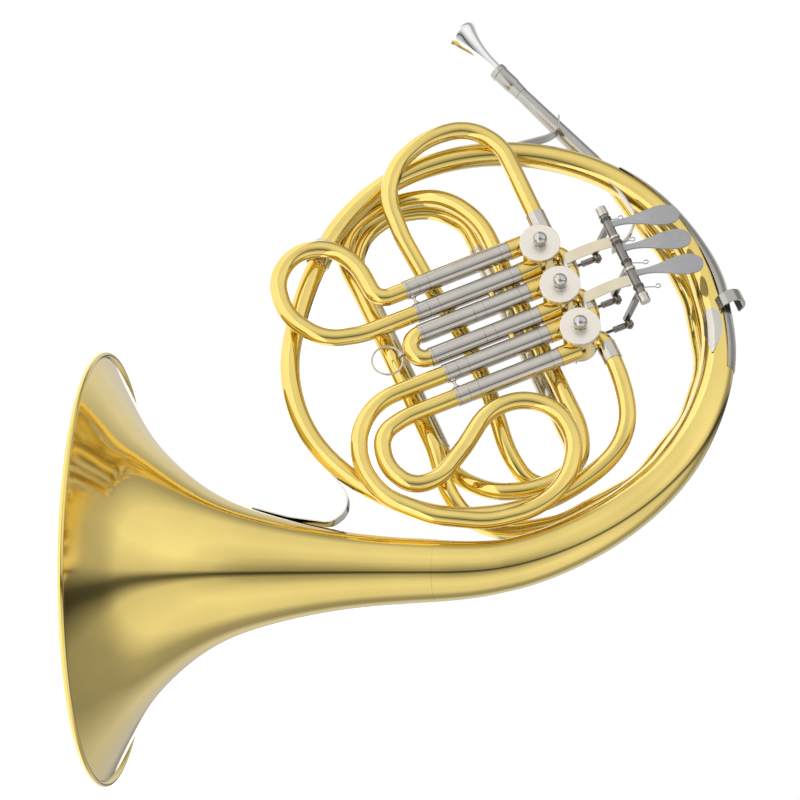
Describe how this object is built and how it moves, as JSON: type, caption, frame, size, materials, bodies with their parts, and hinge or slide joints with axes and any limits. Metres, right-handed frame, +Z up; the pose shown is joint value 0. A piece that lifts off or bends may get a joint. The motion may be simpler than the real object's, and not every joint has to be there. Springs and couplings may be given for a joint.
{
  "type": "french horn",
  "caption": "Coiled brass horn with a wide flared bell, three rotary valves worked by finger levers through ball links, pull-out tuning slides and a mouthpiece.",
  "frame": {"origin": "centre of the bell mouth, on the plane the rim stands on", "axes": "+Z up the axis of the bell from its mouth to its throat, -X towards the top of the wrap, -Y towards the side with the valve caps"},
  "size_m": [0.5984, 0.31, 0.4443],
  "materials": {
    "bell_brass": "polished and lacquered",
    "lacquered_brass": "polished and lacquered",
    "rotor_brass": "machined",
    "nickel_silver": "polished",
    "lever_steel": "satin",
    "dark_steel": "polished",
    "bridge_nickel": "polished",
    "cap_plate": "satin top, bright edge",
    "stop_rubber": "matte",
    "silver_plate": "mirror polished"
  },
  "bodies": {
    "horn": {"bell_brace": "nickel_silver", "bell_flare": "bell_brass", "bell_rim": "bell_brass", "bell_tail": "bell_brass", "branch_ferrule": "nickel_silver", "finger_hook": "nickel_silver", "first_branch": "lacquered_brass", "front_bearings": "nickel_silver", "hand_guard": "nickel_silver", "hinge_rod": "dark_steel", "hinge_screws": "dark_steel", "inlet_loop": "lacquered_brass", "key_bridges": "bridge_nickel", "leadpipe": "lacquered_brass", "leadpipe_tip": "nickel_silver", "lever_brace": "nickel_silver", "lever_saddles": "dark_steel", "lever_springs": "dark_steel", "mouthpiece_receiver": "nickel_silver", "outer_coil": "lacquered_brass", "receiver_brace": "nickel_silver", "slide_1_outer_tubes": "nickel_silver", "slide_2_outer_tubes": "nickel_silver", "slide_3_outer_tubes": "nickel_silver", "stop_bumpers": "stop_rubber", "stop_plates": "nickel_silver", "tube_posts": "lacquered_brass", "tuning_slide_sleeves": "nickel_silver", "valve_branch": "lacquered_brass", "valve_caps": "cap_plate", "valve_casing_1": "lacquered_brass", "valve_casing_2": "lacquered_brass", "valve_casing_3": "lacquered_brass", "valve_crossovers": "lacquered_brass", "valve_ferrules": "nickel_silver", "valve_knuckles": "lacquered_brass"},
    "mouthpiece": {"mouthpiece": "silver_plate"},
    "first slide": {"slide_1_legs": "nickel_silver", "slide_1_bow": "lacquered_brass"},
    "second slide": {"slide_2_legs": "nickel_silver", "slide_2_bow": "lacquered_brass", "ring_eyelet": "nickel_silver"},
    "third slide": {"slide_3_legs": "nickel_silver", "slide_3_bow": "lacquered_brass"},
    "pull ring": {"pull_ring": "nickel_silver"},
    "tuning slide": {"tuning_slide_legs": "nickel_silver", "tuning_slide_bow": "lacquered_brass"},
    "first rotor": {"rotor_1": "rotor_brass", "stop_arm_1": "nickel_silver"},
    "first lever": {"lever_1": "lever_steel"},
    "first link": {"link_1": "dark_steel"},
    "second rotor": {"rotor_2": "rotor_brass", "stop_arm_2": "nickel_silver"},
    "second lever": {"lever_2": "lever_steel"},
    "second link": {"link_2": "dark_steel"},
    "third rotor": {"rotor_3": "rotor_brass", "stop_arm_3": "nickel_silver"},
    "third lever": {"lever_3": "lever_steel"},
    "third link": {"link_3": "dark_steel"}
  },
  "joints": [
    {"name": "first rotor turn", "type": "hinge", "parent": "horn", "child": "first rotor", "pos_m": [-0.24643, -0.00097, 0.29714], "axis": [0, 0.9874, -0.1582], "range_deg": [0, 90]},
    {"name": "first lever press", "type": "hinge", "parent": "horn", "child": "first lever", "pos_m": [-0.26415, -0.00691, 0.34858], "axis": [-0.887, -0.073, -0.4559], "range_deg": [0, 19.3], "stiffness_Nm_per_rad": 0.1, "springref_deg": -20.05},
    {"name": "first link swing", "type": "hinge", "parent": "first lever", "child": "first link", "pos_m": [-0.25953, 0.0292, 0.33381], "axis": [-0.887, -0.073, -0.4559], "range_deg": [-27.9, 0]},
    {"name": "second rotor turn", "type": "hinge", "parent": "horn", "child": "second rotor", "pos_m": [-0.21467, 0.00164, 0.31347], "axis": [0, 0.9874, -0.1582], "range_deg": [0, 90]},
    {"name": "second lever press", "type": "hinge", "parent": "horn", "child": "second lever", "pos_m": [-0.23239, -0.0043, 0.3649], "axis": [-0.887, -0.073, -0.4559], "range_deg": [0, 19.3], "stiffness_Nm_per_rad": 0.1, "springref_deg": -20.05},
    {"name": "second link swing", "type": "hinge", "parent": "second lever", "child": "second link", "pos_m": [-0.22778, 0.03182, 0.35013], "axis": [-0.887, -0.073, -0.4559], "range_deg": [-27.9, 0]},
    {"name": "third rotor turn", "type": "hinge", "parent": "horn", "child": "third rotor", "pos_m": [-0.18292, 0.00425, 0.32979], "axis": [0, -0.9874, 0.1582], "range_deg": [0, 90]},
    {"name": "third lever press", "type": "hinge", "parent": "horn", "child": "third lever", "pos_m": [-0.21359, -0.00275, 0.37457], "axis": [-0.887, -0.073, -0.4559], "range_deg": [0, 19.3], "stiffness_Nm_per_rad": 0.1, "springref_deg": -20.05},
    {"name": "third link swing", "type": "hinge", "parent": "third lever", "child": "third link", "pos_m": [-0.20897, 0.03337, 0.3598], "axis": [-0.887, -0.073, -0.4559], "range_deg": [-27.9, 0]},
    {"name": "first slide pull", "type": "slide", "parent": "horn", "child": "first slide", "axis": [0.4617, -0.1403, -0.8758], "range_m": [0, 0.03]},
    {"name": "second slide pull", "type": "slide", "parent": "horn", "child": "second slide", "axis": [0.4617, -0.1403, -0.8758], "range_m": [0, 0.018]},
    {"name": "third slide pull", "type": "slide", "parent": "horn", "child": "third slide", "axis": [0.4617, -0.1403, -0.8758], "range_m": [0, 0.015]},
    {"name": "tuning slide pull", "type": "slide", "parent": "horn", "child": "tuning slide", "axis": [-0.887, -0.073, -0.4559], "range_m": [0, 0.04]},
    {"name": "mouthpiece pull", "type": "slide", "parent": "horn", "child": "mouthpiece", "axis": [-0.6771, -0.1323, -0.7239], "range_m": [0, 0.03]},
    {"name": "pull ring swing", "type": "hinge", "parent": "second slide", "child": "pull ring", "pos_m": [-0.15792, -0.02251, 0.20693], "axis": [-0.887, -0.073, -0.4559], "range_deg": [-25, 25]}
  ],
  "couplings": [
    {"joint": "first lever press", "follows": "first rotor turn", "ratio": 0.2144},
    {"joint": "first link swing", "follows": "first rotor turn", "ratio": -0.31},
    {"joint": "second lever press", "follows": "second rotor turn", "ratio": 0.2144},
    {"joint": "second link swing", "follows": "second rotor turn", "ratio": -0.31},
    {"joint": "third lever press", "follows": "third rotor turn", "ratio": 0.2144},
    {"joint": "third link swing", "follows": "third rotor turn", "ratio": -0.31}
  ]
}
